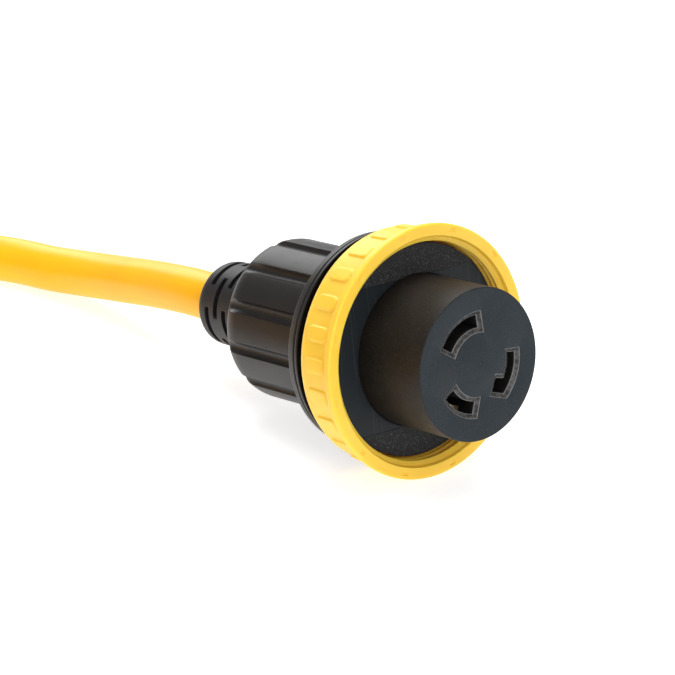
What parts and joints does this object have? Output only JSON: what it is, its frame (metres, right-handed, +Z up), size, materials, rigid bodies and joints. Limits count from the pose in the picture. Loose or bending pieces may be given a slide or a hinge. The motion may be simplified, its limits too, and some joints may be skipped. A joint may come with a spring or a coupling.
{
  "type": "shore power cord",
  "caption": "Locking shore power connector with a threaded coupling ring and slotted strain relief, on a heavy round cord with a three-pin plug at its far end.",
  "frame": {"origin": "centre of the connector's bounding box in plan, on the surface it lies on (measured without the free cord, its coil, ties and plug)", "axes": "+Z up; the connector's axis lies in the XZ plane and its mating face looks along +X, tilted 8 degrees upwards; +Y is to the left of someone standing behind the connector and looking along +X"},
  "size_m": [0.2688, 0.3518, 0.1042],
  "materials": {
    "contact_housing": "fine matt grain",
    "gasket": "matt, with faint concentric marks",
    "collar": "matt",
    "washer": "matt",
    "locking_ring": "satin moulded yellow",
    "rear_shell": "satin black-brown",
    "strain_relief": "matt",
    "clamp": "matt",
    "steel": "bright zinc",
    "brass": "bright",
    "black_core": "satin",
    "white_core": "satin",
    "green_core": "satin",
    "jacket": "satin extruded yellow",
    "tie": "woven hook-and-loop",
    "plug_body": "satin moulded yellow",
    "plug_relief": "matt",
    "plug_insert": "matt"
  },
  "bodies": {
    "root": {"contact_housing": "contact_housing", "face_gasket": "gasket", "front_collar": "collar", "rear_shell": "rear_shell", "strain_relief": "strain_relief", "clamp_upper": "clamp", "clamp_lower": "clamp", "clamp_screw_1": "steel", "clamp_screw_2": "steel", "collar_screw_1": "steel", "collar_screw_2": "steel", "collar_screw_3": "steel", "hot_contact": "brass", "neutral_contact": "brass", "ground_contact": "brass", "hot_terminal_screw": "steel", "neutral_terminal_screw": "steel", "ground_terminal_screw": "steel", "hot_conductor": "black_core", "neutral_conductor": "white_core", "ground_conductor": "green_core", "jacket_end": "jacket", "cord_run": "jacket", "cord_coil": "jacket", "cord_tail": "jacket", "coil_tie_1": "tie", "coil_tie_2": "tie", "coil_tie_3": "tie", "plug_body": "plug_body", "plug_relief": "plug_relief", "plug_insert": "plug_insert", "plug_hot_blade": "brass", "plug_neutral_blade": "brass", "plug_ground_pin": "brass"},
    "washer_carriage": {"thrust_washer": "washer"},
    "coupling_ring": {"locking_ring": "locking_ring"}
  },
  "joints": [
    {"name": "ring_float", "type": "slide", "parent": "root", "child": "washer_carriage", "axis": [0.9903, 0, 0.1392], "range_m": [-0.0024, 0.0019]},
    {"name": "ring_turn", "type": "hinge", "parent": "washer_carriage", "child": "coupling_ring", "pos_m": [0.0269, 0, 0.03612], "axis": [0.9903, 0, 0.1392], "continuous": true}
  ]
}
